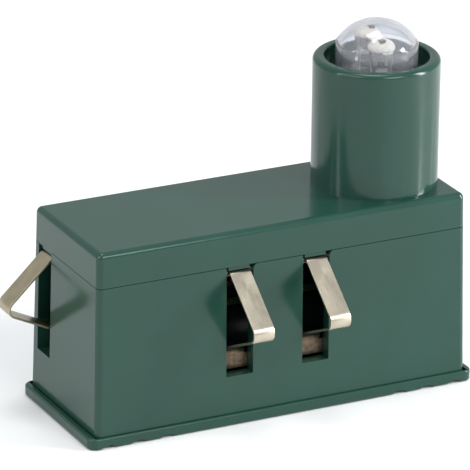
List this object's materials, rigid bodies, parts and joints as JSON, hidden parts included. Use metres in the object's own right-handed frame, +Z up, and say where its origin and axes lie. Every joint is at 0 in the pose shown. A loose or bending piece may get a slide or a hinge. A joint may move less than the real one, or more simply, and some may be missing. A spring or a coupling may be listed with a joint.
{
  "type": "electric bug zapper",
  "caption": "Slim box-shaped electric bug zapper with sprung contact strips in slots and a tall round lamp tower under a clear cap.",
  "frame": {"origin": "centre of the base plate's flat underside", "axes": "+X along the length towards the lamp tower, -Y out of the long face with two slots, +Z up out of the underside"},
  "size_m": [0.0964, 0.0443, 0.0776],
  "materials": {
    "green_plastic": "glossy moulded",
    "base_plastic": "glossy moulded",
    "nickel_strip": "rolled nickel-plated strip",
    "pin_steel": "drawn wire",
    "screw_steel": "zinc plated",
    "clear_plastic": "clear moulded",
    "lamp_plastic": "cast resin",
    "post_plastic": "moulded",
    "circuit_board": "solder-masked laminate",
    "ferrite": "pressed and ground",
    "copper_coil": "wound enamelled wire",
    "film_capacitor_case": "dipped resin",
    "can_sleeve": "shrink sleeve",
    "chip_resin": "moulded epoxy",
    "resistor_body": "lacquered",
    "tinned_copper": "tinned",
    "cell_jacket": "printed film over steel",
    "terminal_steel": "nickel plated",
    "wire_red": "extruded insulation",
    "wire_black": "extruded insulation"
  },
  "bodies": {
    "housing": {"lower_body": "green_plastic", "top_cover": "green_plastic", "base_plate": "base_plastic", "base_screws": "screw_steel", "board_screws": "screw_steel", "contact_pin_side_left": "pin_steel", "contact_pin_side_right": "pin_steel", "contact_pin_end": "pin_steel", "clear_cap": "clear_plastic", "led_front": "lamp_plastic", "led_back": "lamp_plastic", "led_leads": "tinned_copper", "led_board": "circuit_board", "led_post": "post_plastic", "main_board": "circuit_board", "transformer_core": "ferrite", "transformer_winding": "copper_coil", "hv_capacitor_a": "film_capacitor_case", "hv_capacitor_b": "film_capacitor_case", "electrolytic_capacitor": "can_sleeve", "transistor": "chip_resin", "diodes": "chip_resin", "resistors": "resistor_body", "battery_cell": "cell_jacket", "battery_plate": "terminal_steel", "battery_spring": "terminal_steel", "contact_wire_side_left": "wire_red", "contact_wire_side_right": "wire_red", "contact_wire_end": "wire_black", "led_wires": "wire_black", "battery_wires": "wire_red"},
    "side_left_contact": {"contact_side_left": "nickel_strip"},
    "side_right_contact": {"contact_side_right": "nickel_strip"},
    "end_contact": {"contact_end": "nickel_strip"}
  },
  "joints": [
    {"name": "side_left_hinge", "type": "hinge", "parent": "housing", "child": "side_left_contact", "pos_m": [-0.01035, -0.01225, 0.0325], "axis": [1, 0, 0], "range_deg": [0, 20], "stiffness_Nm_per_rad": 0.04, "springref_deg": -8.59},
    {"name": "side_right_hinge", "type": "hinge", "parent": "housing", "child": "side_right_contact", "pos_m": [0.00723, -0.01225, 0.0325], "axis": [1, 0, 0], "range_deg": [0, 20], "stiffness_Nm_per_rad": 0.04, "springref_deg": -8.59},
    {"name": "end_hinge", "type": "hinge", "parent": "housing", "child": "end_contact", "pos_m": [-0.0389, 0.0101, 0.0325], "axis": [0, -1, 0], "range_deg": [0, 20], "stiffness_Nm_per_rad": 0.04, "springref_deg": -8.59}
  ]
}
